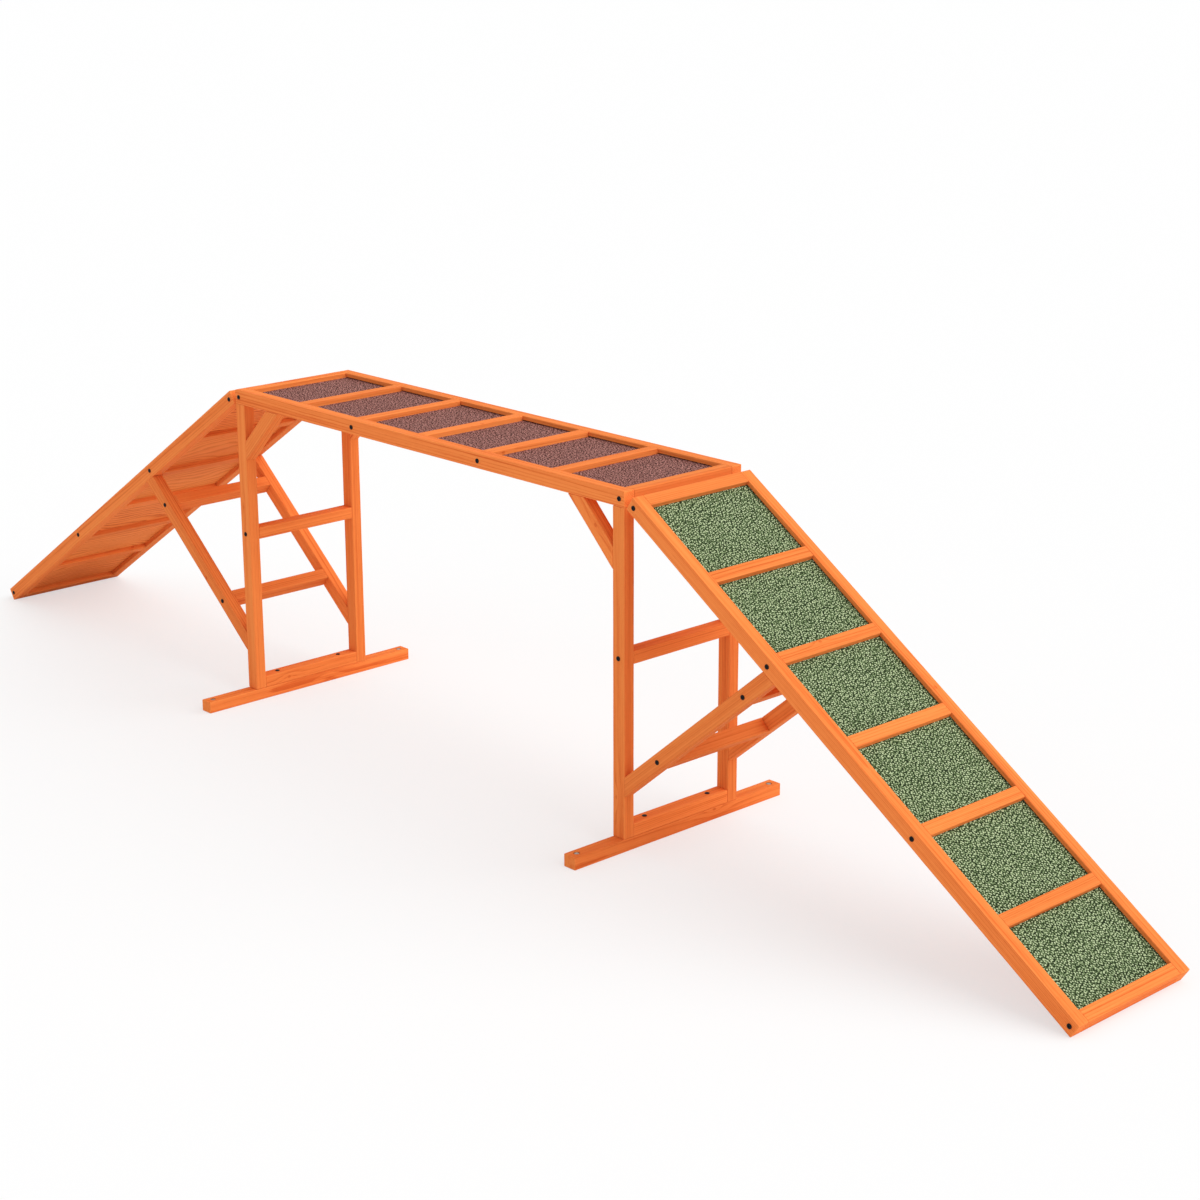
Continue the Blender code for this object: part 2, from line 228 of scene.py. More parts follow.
def record_grain(mesh, length, across, upright, cuts, chance):
    """Where each point of a timber lay in the tree, its knot, its shade, its wear with a painted
    highlight, and painted shade in bores.
    """
    points = np.array([vertex.co for vertex in mesh.vertices])
    x, y, z = points.T
    away, bearing = chance.uniform(*PITH_AWAY), chance.uniform(0, 2 * math.pi)
    pith_y, pith_z = away * math.cos(bearing), away * math.sin(bearing)
    drift_y, drift_z = chance.uniform(*GRAIN_LEAN), chance.uniform(*GRAIN_LEAN)
    start = chance.uniform(0, 40)
    grain = [x + start, y - pith_y - drift_y * x, z - pith_z - drift_z * x]
    write_attribute(mesh, "grain", "FLOAT_VECTOR", "POINT", np.stack(grain, 1))
    knotty = chance.random() < KNOT_CHANCE
    knot_x = chance.uniform(*KNOT_PLACES) * length if knotty else NO_KNOT_HERE
    sideways = y * math.sin(bearing) - z * math.cos(bearing) + chance.uniform(*KNOT_SWAY)
    knot = [x - knot_x, sideways, 0 * x + chance.uniform(0, 9)]
    write_attribute(mesh, "knot", "FLOAT_VECTOR", "POINT", np.stack(knot, 1))
    batch = [chance.uniform(0, 1), chance.uniform(0, 1), chance.uniform(*RING_WIDTHS)]
    batch = np.tile(batch, (len(points), 1))
    write_attribute(mesh, "batch", "FLOAT_VECTOR", "POINT", batch)
    from_foot = x + length / 2 - cuts[0] * z
    from_head = length / 2 + cuts[1] * z - x
    ends = np.minimum(from_foot, from_head)
    depths = np.sort(np.stack([ends, across / 2 - abs(y), upright / 2 - abs(z)]), 0)
    # The worn arrises: the stain's wear, with a painted highlight along them too.
    wear_and_highlight = np.clip(1 - depths[1] / (WORN_AND_HIGHLIT_BAND + 0.9 * ARRIS), 0, 1)
    write_attribute(mesh, "wear_and_highlight", "FLOAT", "POINT", wear_and_highlight)
    facing_along = np.array([abs(face.normal.x) for face in mesh.polygons])
    middles = abs(np.array([face.center for face in mesh.polygons]))
    reach = length / 2 - middles[:, 0] - middles[:, 2] * max(map(abs, cuts))
    write_attribute(mesh, "sawn_end", "FLOAT", "FACE", (facing_along > 0.6) & (reach < ARRIS))
    # Faces in bores, sinkings and grooves: painted shade in the recesses, with some darker cut
    # grain.
    depth = np.minimum(across / 2 - middles[:, 1], upright / 2 - middles[:, 2])
    write_attribute(mesh, "cut_grain_and_recess_shade", "FLOAT", "FACE", (depth > 2 * ARRIS) & (reach > 2 * ARRIS))


def add_node(tree, kind, inputs=None, **settings):
    node = tree.nodes.new(kind)
    for name, value in settings.items():
        setattr(node, name, value)
    for socket, value in (inputs or {}).items():
        if isinstance(value, bpy.types.NodeSocket):
            tree.links.new(value, node.inputs[socket])
        else:
            node.inputs[socket].default_value = value
    return node


def maths(tree, operation, *values):
    inputs = dict(enumerate(values))
    return add_node(tree, "ShaderNodeMath", inputs, operation=operation).outputs[0]


def scaled(tree, vector, factors):
    inputs = {0: vector, 1: factors}
    return add_node(tree, "ShaderNodeVectorMath", inputs, operation="MULTIPLY").outputs[0]


def length_of(tree, vector):
    return add_node(tree, "ShaderNodeVectorMath", {0: vector}, operation="LENGTH").outputs["Value"]


def noise(tree, vector, factors, detail=2.0):
    """Smooth noise about 0, from -0.5 to 0.5, with this many swings per metre along each axis."""
    inputs = {"Vector": scaled(tree, vector, factors), "Scale": 1.0, "Detail": detail}
    found = add_node(tree, "ShaderNodeTexNoise", inputs).outputs["Fac"]
    return maths(tree, "SUBTRACT", found, 0.5)


def eased(tree, value, low, high, start=0.0, end=1.0):
    inputs = {"Value": value, "From Min": low, "From Max": high, "To Min": start, "To Max": end}
    kind = {"interpolation_type": "SMOOTHSTEP"}
    return add_node(tree, "ShaderNodeMapRange", inputs, **kind).outputs["Result"]


def blended(tree, factor, first, second, blend_type="MIX"):
    inputs = {0: factor, 6: first, 7: second}
    kind = {"data_type": "RGBA", "blend_type": blend_type}
    return add_node(tree, "ShaderNodeMix", inputs, **kind).outputs[2]


def ramp_of(tree, factor, stops):
    node = add_node(tree, "ShaderNodeValToRGB", {0: factor})
    ramp = node.color_ramp
    for place, colour in stops[1:-1]:
        ramp.elements.new(place).color = (*colour, 1)
    for end in (0, -1):
        place, colour = stops[end]
        ramp.elements[end].position = place
        ramp.elements[end].color = (*colour, 1)
    return node.outputs[0]


def summed(tree, base, *terms):
    """base plus each (value, weight)."""
    for value, weight in terms:
        base = maths(tree, "MULTIPLY_ADD", value, weight, base)
    return base


def attribute(tree, name, output="Vector"):
    return add_node(tree, "ShaderNodeAttribute", attribute_name=name).outputs[output]


def split(tree, vector):
    return add_node(tree, "ShaderNodeSeparateXYZ", {0: vector}).outputs


def new_finish(name):
    finish = bpy.data.materials.new(name)
    finish.use_nodes = True
    return finish, finish.node_tree


def lay_on(tree, colour, roughness, height, strength, distance, **constants):
    """Gives the shader its colour, roughness and fine relief, and any constants."""
    shader = tree.nodes["Principled BSDF"]
    inputs = {"Strength": strength, "Distance": distance, "Height": height}
    bump = add_node(tree, "ShaderNodeBump", inputs)
    tree.links.new(colour, shader.inputs["Base Color"])
    tree.links.new(roughness, shader.inputs["Roughness"])
    tree.links.new(bump.outputs[0], shader.inputs["Normal"])
    for socket, value in constants.items():
        shader.inputs[socket.replace("_", " ")].default_value = value


# Stain: shades from pale to dark, for browner timber, and for worn arrises with a painted
# highlight.
STAIN_SHADES = (
    (0.0, (0.930, 0.272, 0.067)),
    (0.5, (0.865, 0.216, 0.049)),
    (1.0, (0.700, 0.126, 0.025)),
)
BROWNER_STAIN = (0.850, 0.248, 0.062, 1)
WORN_AND_HIGHLIT_STAIN = (0.950, 0.325, 0.094, 1)
TIMBER_SHINE = {"Specular_IOR_Level": 0.03}


def stain_finish():
    """Orange stain on planed softwood: growth rings, fibres, knots, sawn ends, painted shade in
    bores, and worn arrises with a painted highlight.
    """
    finish, tree = new_finish("orange_stain")
    grain, knot = attribute(tree, "grain"), attribute(tree, "knot")
    batch = split(tree, attribute(tree, "batch"))
    knot_spread = length_of(tree, scaled(tree, knot, (28.0, 95.0, 0.0)))
    knot_bulge = maths(tree, "DIVIDE", 0.0055, summed(tree, 1.0, (knot_spread, knot_spread)))
    knot_core = length_of(tree, scaled(tree, knot, (0.72, 1.0, 0.0)))
    radius = length_of(tree, scaled(tree, grain, (0.0, 1.0, 1.0)))
    radius = summed(
        tree,
        radius,
        (noise(tree, grain, (1.1, 9.0, 9.0)), 0.010),
        (noise(tree, grain, (8.0, 60.0, 60.0)), 0.0018),
        (knot_bulge, 1.0),
    )
    ring = maths(tree, "DIVIDE", radius, batch[2])
    share = maths(tree, "FRACT", ring)
    late = maths(
        tree,
        "MULTIPLY",
        eased(tree, share, 0.45, 0.92),
        eased(tree, share, 0.93, 1.0, 1.0, 0.0),
    )
    ring_number = summed(tree, maths(tree, "FLOOR", ring), (batch[0], 97.0))
    year = add_node(
        tree, "ShaderNodeTexWhiteNoise", {"W": ring_number}, noise_dimensions="1D"
    ).outputs["Value"]
    streak = noise(tree, grain, (0.6, 85.0, 85.0))
    line = noise(tree, grain, (1.5, 210.0, 210.0), 1.0)
    fibre = noise(tree, grain, (18.0, 620.0, 620.0))
    fleck = eased(tree, noise(tree, grain, (40.0, 1100.0, 1100.0), 0.0), 0.17, 0.27)
    mottle = noise(tree, grain, (3.0, 14.0, 14.0))
    core = eased(tree, summed(tree, knot_core, (fibre, 0.0012)), 0.0030, 0.0058, 1.0, 0.0)
    shade = summed(
        tree,
        0.14,
        (late, 0.44),
        (year, 0.30),
        (streak, 1.35),
        (line, 1.10),
        (fibre, 0.60),
        (fleck, 0.26),
        (mottle, 0.50),
        (core, 0.48),
        (attribute(tree, "sawn_end", "Fac"), -0.24),
        # painted shade in bores, sinkings and grooves, with some darker cut grain
        (attribute(tree, "cut_grain_and_recess_shade", "Fac"), 0.45),
    )
    colour = ramp_of(tree, shade, STAIN_SHADES)
    browner = maths(tree, "MULTIPLY", batch[1], 0.30)
    colour = blended(tree, browner, colour, BROWNER_STAIN)
    tone = eased(tree, batch[0], 0.0, 1.0, 0.93, 1.04)
    tones = add_node(tree, "ShaderNodeCombineXYZ", {0: tone, 1: tone, 2: tone}).outputs[0]
    colour = blended(tree, 1.0, colour, tones, "MULTIPLY")
    # Worn arrises, lighter from wear and from a painted highlight.
    rubbed_and_highlit = maths(tree, "MULTIPLY", attribute(tree, "wear_and_highlight", "Fac"), 0.22)
    rubbed_and_highlit = maths(tree, "MULTIPLY", rubbed_and_highlit, eased(tree, mottle, -0.22, 0.18, 0.25, 1.0))
    colour = blended(tree, rubbed_and_highlit, colour, WORN_AND_HIGHLIT_STAIN)
    rough = summed(tree, 0.62, (late, 0.07), (fibre, 0.16), (rubbed_and_highlit, -0.10))
    height = summed(tree, 0.0, (late, 0.30), (fibre, 0.9), (fleck, -0.5))
    lay_on(tree, colour, rough, height, 0.45, 0.0004, **TIMBER_SHINE)
    return finish


orange_stain = stain_finish()


def show(node, mesh, place, finishes, suffix):
    """Puts a made mesh in the scene in place of the node."""
    mesh.transform(place)
    piece = bpy.data.objects.new(node + suffix, mesh)
    bpy.context.collection.objects.link(piece)
    for finish in finishes:
        mesh.materials.append(finish)
    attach(piece, "root")
    return piece


def soften(piece, angle=35):
    """Smooth shading that leaves the flats flat."""
    piece.data.shade_smooth()
    piece.data.set_sharp_from_angle(angle=math.radians(angle))
    weighted = piece.modifiers.new("flat_faces", "WEIGHTED_NORMAL")
    weighted.weight = 80
    weighted.keep_sharp = True


def timber(node, length, place, tools=None, across=TIMBER_THIN, upright=TIMBER_WIDE, cuts=(0, 0)):
    """A stained timber in place of a node, with the tools' holes and grooves cut in it."""
    chance = random.Random(node)
    mesh = mesh_of(planed_blank(length, across, upright, cuts, chance), node)
    if tools:
        mesh = cut_away(mesh, tools)
    record_grain(mesh, length, across, upright, cuts, chance)
    piece = show(node, mesh, place, [orange_stain], "_timber")
    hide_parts(node)
    soften(piece)
    return piece


SLATS = 7
BOLTED_SLATS = (0, 2, 4, 6)


def slat_positions(length):
    pitch = (length - TIMBER_THIN) / (SLATS - 1)
    return [pitch * number - (length - TIMBER_THIN) / 2 for number in range(SLATS)]


for section, (length, place, outward) in walkway.items():
    for flank_name, flank in FLANKS.items():
        tools = bmesh.new()
        groove = (length - 2 * TIMBER_THIN, 2 * GROOVE_DEPTH, GROOVE_HEIGHT, 1)
        at = Matrix.Translation((0, -flank * TIMBER_THIN / 2, GROOVE_MIDDLE_Z))
        bmesh.ops.create_cube(tools, size=1.0, matrix=at @ Matrix.Diagonal(groove))
        for number in BOLTED_SLATS:
            hole(tools, (slat_positions(length)[number], 0, 0), "Y", BOLT_HOLE, HOLE_REACH)
        at_side = Matrix.Translation((0, flank * RAIL_Y, 0))
        timber(f"{section}_side_rail_{flank_name}", length, place @ at_side, tools)


# Cross slats
# Seven to a section, the same timber on edge between the rails and flush with them.
# Every second one is drilled in its ends for the bolts that come through the rails.
SLAT_LENGTH = 2 * (INNER_Y - JOINT_GAP)
END_HOLE_DEPTH = BOLT_LENGTH - TIMBER_THIN + 0.002
ALONG_Y = Matrix.Rotation(math.pi / 2, 4, "Z")


def end_holes():
    tools = bmesh.new()
    for end in (-1, 1):
        hole(tools, (end * SLAT_LENGTH / 2, 0, 0), "X", BOLT_HOLE, END_HOLE_DEPTH)
    return tools


for section, (length, place, outward) in walkway.items():
    positions = slat_positions(length)[::outward]
    for number, x in enumerate(positions):
        tools = end_holes() if number in BOLTED_SLATS else None
        at = place @ Matrix.Translation((x, 0, 0)) @ ALONG_Y
        timber(f"{section}_slat_{number + 1}", SLAT_LENGTH, at, tools)


# Deck panels
# Six sheets of plywood to a section, stained below and on the edges, let into the rails' grooves.
# The top is rolled with glue and strewn with coloured grit, maroon on the bridge and green on the
# ramps.
DECK_TOP_Z = 0.0075
DECK_THICKNESS = 0.015
GRIT_THICKNESS = 0.0010
GRIT_RELIEF = 0.0003
GRIT_PITCH = 0.0022
GRAINS_PER_METRE = 640.0
GRAIN_STRAY = 0.0009
VENEER = 0.0016
PANEL_WIDTH = 2 * (INNER_Y + GROOVE_DEPTH - JOINT_GAP)
VENEER_SHADES = (
    (0.0, (0.950, 0.300, 0.076)),
    (0.5, (0.840, 0.205, 0.046)),
    (1.0, (0.600, 0.095, 0.020)),
)
BROWNER_VENEER = (0.820, 0.260, 0.056, 1)
GRIT_SHADES = {
    "maroon": (
        (0.00, (0.038, 0.008, 0.006)),
        (0.30, (0.087, 0.023, 0.017)),
        (0.55, (0.182, 0.056, 0.044)),
        (0.80, (0.346, 0.129, 0.104)),
        (1.00, (0.554, 0.276, 0.233)),
    ),
    "green": (
        (0.00, (0.009, 0.018, 0.003)),
        (0.30, (0.024, 0.044, 0.012)),
        (0.55, (0.084, 0.132, 0.047)),
        (0.80, (0.251, 0.324, 0.162)),
        (1.00, (0.510, 0.592, 0.351)),
    ),
}
# Clumps to the metre, how unevenly they lie, the turns of their layers in degrees, and the weights
# of a plain shade, of the clumps' painted highlight and shade, and of the drift.
GRIT_CLUMPS = {
    "maroon": (152.0, 0.72, (0,), -0.19, 1.10, 0.36),
    "green": (140.0, 0.55, (22, 62), -0.385, 1.60, 0.0),
}


def veneer_finish():
    """Stained plywood: arched rotary-cut grain on the face, and its layers on the edges."""
    finish, tree = new_finish("stained_plywood")
    grain = attribute(tree, "grain")
    batch = split(tree, attribute(tree, "batch"))
    places = split(tree, grain)
    swell = noise(tree, grain, (2.4, 4.0, 0.0), 1.0)
    ripple = noise(tree, grain, (12.0, 40.0, 0.0))
    ring = summed(tree, 0.0, (swell, 11.0), (places[1], 46.0), (ripple, 0.9))
    share = maths(tree, "FRACT", ring)
    late = maths(
        tree,
        "MULTIPLY",
        eased(tree, share, 0.30, 0.90),
        eased(tree, share, 0.90, 1.0, 1.0, 0.0),
    )
    fibre = noise(tree, grain, (16.0, 420.0, 300.0))
    mottle = noise(tree, grain, (5.0, 11.0, 0.0))
    layer = maths(tree, "FRACT", maths(tree, "DIVIDE", places[2], 2 * VENEER))
    layer = maths(tree, "GREATER_THAN", layer, 0.5)
    layer = maths(tree, "MULTIPLY", layer, attribute(tree, "edge", "Fac"))
    shade = summed(
        tree,
        0.06,
        (late, 0.78),
        (fibre, 1.30),
        (mottle, 0.50),
        (layer, 0.35),
        (batch[0], 0.22),
    )
    colour = ramp_of(tree, shade, VENEER_SHADES)
    browner = maths(tree, "MULTIPLY", batch[1], 0.55)
    colour = blended(tree, browner, colour, BROWNER_VENEER)
    rough = summed(tree, 0.58, (late, 0.08), (fibre, 0.16))
    height = summed(tree, 0.0, (late, 0.35), (fibre, 0.9))
    lay_on(tree, colour, rough, height, 0.4, 0.0004, **TIMBER_SHINE)
    return finish


def grit_finish(name, shades):
    """Coloured grit: grains of mixed shades in small clumps, a painted highlight on each and
    painted shade between.
    """
    finish, tree = new_finish(name + "_grit")
    grain = attribute(tree, "grain")
    inputs = {"Vector": grain, "Scale": GRAINS_PER_METRE}
    grains = add_node(tree, "ShaderNodeTexVoronoi", inputs)
    each = add_node(tree, "ShaderNodeSeparateColor", {0: grains.outputs["Color"]}).outputs[0]
    stray = summed(tree, 0.0, (each, GRAIN_STRAY))
    stray = add_node(tree, "ShaderNodeCombineXYZ", {0: stray, 1: stray}).outputs[0]
    strewn = add_node(tree, "ShaderNodeVectorMath", {0: grain, 1: stray}, operation="ADD")
    scale, randomness, turns, plain, contrast, drifting = GRIT_CLUMPS[name]
    clump_highlight_and_shade = 0.0
    for turn in turns:
        inputs = {"Vector": strewn.outputs[0], "Angle": math.radians(turn)}
        turned = add_node(tree, "ShaderNodeVectorRotate", inputs, rotation_type="Z_AXIS")
        inputs = {"Vector": turned.outputs[0], "Scale": scale, "Randomness": randomness}
        clumps = add_node(tree, "ShaderNodeTexVoronoi", inputs, voronoi_dimensions="2D")
        # A painted highlight at each clump's middle, fading to painted shade at its rim.
        pale = eased(tree, clumps.outputs["Distance"], 0.08, 0.60, 1.0, 0.0)
        clump_highlight_and_shade = summed(tree, clump_highlight_and_shade, (pale, 1 / len(turns)))
    tint = add_node(tree, "ShaderNodeSeparateColor", {0: clumps.outputs["Color"]}).outputs[1]
    patch = noise(tree, grain, (14.0, 14.0, 0.0), 1.0)
    drift = noise(tree, grain, (75.0, 75.0, 0.0), 1.0)
    shade = summed(
        tree,
        plain,
        (clump_highlight_and_shade, contrast),
        (tint, 0.24),
        (each, 0.28),
        (drift, drifting),
        (patch, 0.14),
    )
    colour = ramp_of(tree, shade, shades)
    rough = summed(tree, 0.86, (each, 0.10))
    height = summed(tree, 0.0, (grains.outputs["Distance"], -0.8), (each, 0.5))
    lay_on(tree, colour, rough, height, 0.6, 0.0005, Specular_IOR_Level=0.25)
    return finish


stained_plywood = veneer_finish()
grit = {name: grit_finish(name, shades) for name, shades in GRIT_SHADES.items()}


def grit_relief(count_x, count_y, chance):
    """Heights of the strewn grains over a panel, from -1 to 1: single grains on soft clumps."""
    drawn = np.random.default_rng(chance.randrange(1 << 30))
    single = drawn.uniform(-1, 1, (count_x, count_y))
    clumps = drawn.uniform(-1, 1, (count_x + 4, count_y + 4))
    soft = sum(clumps[i : i + count_x, j : j + count_y] for i in range(5) for j in range(5)) / 9
    return np.clip(0.65 * single + 0.55 * soft, -1, 1)


def deck_panel(node, number, length, place, colour):
    """A sheet with its long sides in the grooves; the grit is a fine relief on a closed mesh."""
    chance = random.Random(f"{node} {number}")
    count_x, count_y = round(length / GRIT_PITCH) + 1, round(PANEL_WIDTH / GRIT_PITCH) + 1
    x, y = np.meshgrid(
        np.linspace(-length / 2, length / 2, count_x),
        np.linspace(-PANEL_WIDTH / 2, PANEL_WIDTH / 2, count_y),
        indexing="ij",
    )
    relief = grit_relief(count_x, count_y, chance)
    top = DECK_TOP_Z - GRIT_RELIEF + GRIT_RELIEF * relief
    index = np.arange(count_x * count_y).reshape(count_x, count_y)
    rim = np.concatenate([index[:, 0], index[-1, 1:], index[-2::-1, -1], index[0, -2:0:-1]])
    points = np.stack([x.ravel(), y.ravel(), top.ravel()], 1)
    levels = (DECK_TOP_Z - GRIT_THICKNESS, DECK_TOP_Z - DECK_THICKNESS)
    rims, faces = [rim], []
    for level in levels:
        rims.append(len(points) + np.arange(len(rim)))
        lower_rim = np.column_stack([points[rim, :2], np.full(len(rim), level)])
        points = np.concatenate([points, lower_rim])
    corners = [index[:-1, :-1], index[1:, :-1], index[1:, 1:], index[:-1, 1:]]
    faces += np.stack([corner.ravel() for corner in corners], 1).tolist()
    grit_faces = len(faces)
    for upper, lower in zip(rims, rims[1:]):
        faces += np.stack([upper, lower, np.roll(lower, -1), np.roll(upper, -1)], 1).tolist()
    faces.append(rims[-1][::-1].tolist())
    mesh = bpy.data.meshes.new(f"{node}_{number}")
    mesh.from_pydata(points.tolist(), [], faces)
    finish_of = np.ones(len(faces), np.int32)
    finish_of[: grit_faces + len(rim)] = 0
    mesh.polygons.foreach_set("material_index", finish_of)
    start = [chance.uniform(0, 30), chance.uniform(0, 30), 0.0]
    write_attribute(mesh, "grain", "FLOAT_VECTOR", "POINT", points[:, [1, 0, 2]] + start)
    batch = np.tile([chance.random(), chance.random(), 0.0], (len(points), 1))
    write_attribute(mesh, "batch", "FLOAT_VECTOR", "POINT", batch)
    edge = np.ones(len(faces))
    edge[:grit_faces] = edge[-1] = 0
    write_attribute(mesh, "edge", "FLOAT", "FACE", edge)
    finishes = [grit[colour], stained_plywood]
    piece = show(f"{node}_{number}", mesh, place, finishes, "")
    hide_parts(node)


for section, (length, place, outward) in walkway.items():
    positions = slat_positions(length)[::outward]
    panel_length = abs(positions[1] - positions[0]) - TIMBER_THIN - 2 * JOINT_GAP
    colour = "maroon" if section == "bridge" else "green"
    for number, (first, second) in enumerate(zip(positions, positions[1:]), start=1):
        at = place @ Matrix.Translation(((first + second) / 2, 0, 0))
        deck_panel(f"{section}_deck_panels", number, panel_length, at, colour)


# Posts
# Four uprights under the ends of the bridge, standing on the foot rails.
# Each is drilled across for the bolt that holds the rung.
POST_X = (BRIDGE_LENGTH - TIMBER_WIDE) / 2
RAIL_UNDERSIDE_Z = BRIDGE_HEIGHT - TIMBER_WIDE
RUNG_HEIGHT = 0.564
POST_FOOT_Z = TIMBER_THIN + JOINT_GAP
POST_LENGTH = RAIL_UNDERSIDE_Z - JOINT_GAP - POST_FOOT_Z
POST_MIDDLE_Z = POST_FOOT_Z + POST_LENGTH / 2
UPRIGHT = Matrix.Rotation(-math.pi / 2, 4, "Y")

for side_name, side in SIDES.items():
    for flank_name, flank in FLANKS.items():
        tools = bmesh.new()
        hole(tools, (RUNG_HEIGHT - POST_MIDDLE_Z, 0, 0), "Y", BOLT_HOLE, HOLE_REACH)
        at = Matrix.Translation((side * POST_X, flank * RAIL_Y, POST_MIDDLE_Z)) @ UPRIGHT
        timber(f"{side_name}_post_{flank_name}", POST_LENGTH, at, tools)


# Foot rails
# One on the ground across the walk under each pair of posts, reaching out past them on both sides.
# Each end is bored for a ground bolt and sunk for its head; the bottom rail is bolted on between.
FOOT_RAIL_REACH = 0.185
FOOT_RAIL_LENGTH = WALK_WIDTH + 2 * FOOT_RAIL_REACH
GROUND_BOLT_FROM_END = 0.027
GROUND_BOLT_Y = FOOT_RAIL_LENGTH / 2 - GROUND_BOLT_FROM_END
SINKING_RADIUS = 0.0095
SINKING_DEPTH = 0.006
GROUND_BOLT_HOLE = 0.0044
BOTTOM_BOLT_Y = 0.125
LAID_FLAT = {"across": TIMBER_WIDE, "upright": TIMBER_THIN}

for side_name, side in SIDES.items():
    tools = bmesh.new()
    for end in (-1, 1):
        across_y = end * GROUND_BOLT_Y
        hole(tools, (across_y, 0, TIMBER_THIN / 2), "Z", SINKING_RADIUS, SINKING_DEPTH)
        hole(tools, (across_y, 0, 0), "Z", GROUND_BOLT_HOLE, HOLE_REACH)
        hole(tools, (end * BOTTOM_BOLT_Y, 0, TIMBER_THIN / 2), "Z", BOLT_HOLE, END_HOLE_DEPTH)
    at = Matrix.Translation((side * POST_X, 0, TIMBER_THIN / 2)) @ ALONG_Y
    timber(f"{side_name}_foot_rail", FOOT_RAIL_LENGTH, at, tools, **LAID_FLAT)


# Bottom rails and rungs
# Between the posts of each frame: a rail bolted down on the foot rail, and a rung at half height
# that is held by a bolt through each post.
for side_name, side in SIDES.items():
    tools = bmesh.new()
    for end in (-1, 1):
        hole(tools, (end * BOTTOM_BOLT_Y, 0, 0), "Z", BOLT_HOLE, HOLE_REACH)
    at = Matrix.Translation((side * POST_X, 0, 1.5 * TIMBER_THIN + JOINT_GAP)) @ ALONG_Y
    timber(f"{side_name}_bottom_rail", SLAT_LENGTH, at, tools, **LAID_FLAT)
    at = Matrix.Translation((side * POST_X, 0, RUNG_HEIGHT)) @ ALONG_Y
    timber(f"{side_name}_rung", SLAT_LENGTH, at, end_holes(), **LAID_FLAT)


# Knee braces
# Short braces at 45 degrees from each post up to the bridge rail above it.
# Both ends are mitred to lie flat on the post and on the rail, and are screwed from inside.
KNEE_REACH = 0.148


def leaning(side, slope, x, y, z):
    """Places a timber about x, y, z, rising at slope towards +X, or towards -X where side is -1."""
    rise, run = math.sin(slope), math.cos(slope)
    columns = [(side * run, 0, rise), (0, side, 0), (-side * rise, 0, run)]
    turn = Matrix([list(row) for row in zip(*columns)]).to_4x4()
    return Matrix.Translation((x, y, z)) @ turn


for side_name, side in SIDES.items():
    for flank_name, flank in FLANKS.items():
        x = side * (BRIDGE_LENGTH / 2 - TIMBER_WIDE - JOINT_GAP - KNEE_REACH / 2)
        z = RAIL_UNDERSIDE_Z - JOINT_GAP - KNEE_REACH / 2
        at = leaning(-side, math.pi / 4, x, flank * RAIL_Y, z)
        name = f"{side_name}_knee_brace_{flank_name}"
        timber(name, KNEE_REACH * math.sqrt(2), at, cuts=(1, -1))


# Ramp struts and their ties
# A strut leans out from each outer post to the ramp rail, sawn upright below and along the ramp
# above. Two ties join each pair, held by a bolt through the strut into each end.
STRUT_SLOPE = math.radians(40.2)
STRUT_FOOT_HEIGHT = 0.194
TIE_DISTANCES = {"lower": 0.171, "upper": 0.585}
STRUT_FOOT_X = BRIDGE_LENGTH / 2 + JOINT_GAP
foot_z = STRUT_FOOT_HEIGHT + JOINT_GAP * math.tan(STRUT_SLOPE)
ramp_gap = JOINT_GAP / math.cos(RAMP_SLOPE)
climb = math.tan(STRUT_SLOPE) + math.tan(RAMP_SLOPE)
strut_run = (ramp_underside_z(STRUT_FOOT_X) - ramp_gap - foot_z) / climb
strut_length = strut_run / math.cos(STRUT_SLOPE)
strut_cuts = (math.tan(STRUT_SLOPE), -1 / math.tan(STRUT_SLOPE + RAMP_SLOPE))

for side_name, side in SIDES.items():
    middle_x = side * (STRUT_FOOT_X + strut_run / 2)
    middle_z = foot_z + strut_run / 2 * math.tan(STRUT_SLOPE)
    for flank_name, flank in FLANKS.items():
        tools = bmesh.new()
        for distance in TIE_DISTANCES.values():
            hole(tools, (distance - strut_length / 2, 0, 0), "Y", BOLT_HOLE, HOLE_REACH)
        at = leaning(side, STRUT_SLOPE, middle_x, flank * RAIL_Y, middle_z)
        name = f"{side_name}_ramp_strut_{flank_name}"
        timber(name, strut_length, at, tools, cuts=strut_cuts)
    for tie_name, distance in TIE_DISTANCES.items():
        x = side * (BRIDGE_LENGTH / 2 + distance * math.cos(STRUT_SLOPE))
        z = STRUT_FOOT_HEIGHT + distance * math.sin(STRUT_SLOPE)
        at = leaning(side, STRUT_SLOPE, x, 0, z) @ ALONG_Y
        timber(f"{side_name}_strut_tie_{tie_name}", SLAT_LENGTH, at, end_holes())


# Black bolts
# Flat-head furniture bolts of black coated steel with a hexagon socket, drawn up on the timber:
# through the rails into the slats, the posts into the rungs, the struts into the ties, and down
# through the bottom rails.
RING_POINTS = 48
UNDER_HEAD = 0.00005
HEAD_PROFILE = (
    ("round", 0.00300, -BOLT_LENGTH + 0.0010),
    ("round", 0.00300, 0.00000),
    ("round", 0.00660, 0.00000),
    ("round", 0.00700, 0.00030),
    ("round", 0.00700, 0.00130),
    ("round", 0.00685, 0.00172),
    ("round", 0.00640, 0.00200),
    ("round", 0.00500, 0.00216),
    ("round", 0.00350, 0.00220),
    ("hexagon", 0.00275, 0.00218),
    ("hexagon", 0.00250, 0.00192),
    ("hexagon", 0.00250, 0.00060),
    ("round", 0.00120, 0.00040),
)


def ring_radius(form, radius, angle, cap=math.inf):
    """A hexagon's radius is the one to its flats; its corners end at cap times that."""
    if form == "round":
        return radius
    off_flat = (angle + math.pi / 6) % (math.pi / 3) - math.pi / 6
    return min(radius / math.cos(off_flat), radius * cap)


